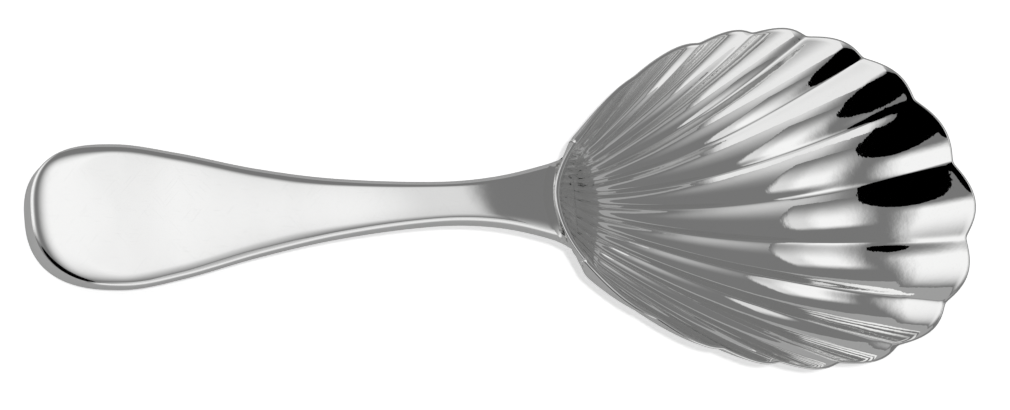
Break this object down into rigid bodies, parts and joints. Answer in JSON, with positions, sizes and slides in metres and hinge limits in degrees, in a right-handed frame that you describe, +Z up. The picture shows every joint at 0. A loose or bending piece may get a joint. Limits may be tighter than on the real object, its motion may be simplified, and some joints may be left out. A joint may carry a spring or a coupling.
{
  "type": "caddy spoon",
  "caption": "Caddy spoon with a fluted scallop-shell bowl and a flat-topped handle that swells to a rounded thumb pad, for measuring tea leaves.",
  "frame": {"origin": "under the middle of the spoon's length and width, on the surface it lies on", "axes": "+X along the spoon from the handle's pad towards the tip of the bowl, +Z up out of the bowl"},
  "size_m": [0.0986, 0.0369, 0.0103],
  "materials": {
    "bowl_silver": "polished silver",
    "handle_silver": "polished silver",
    "hard_solder": "satin silver solder"
  },
  "bodies": {
    "root": {"bowl": "bowl_silver", "handle": "handle_silver", "solder_seam": "hard_solder"}
  },
  "joints": []
}
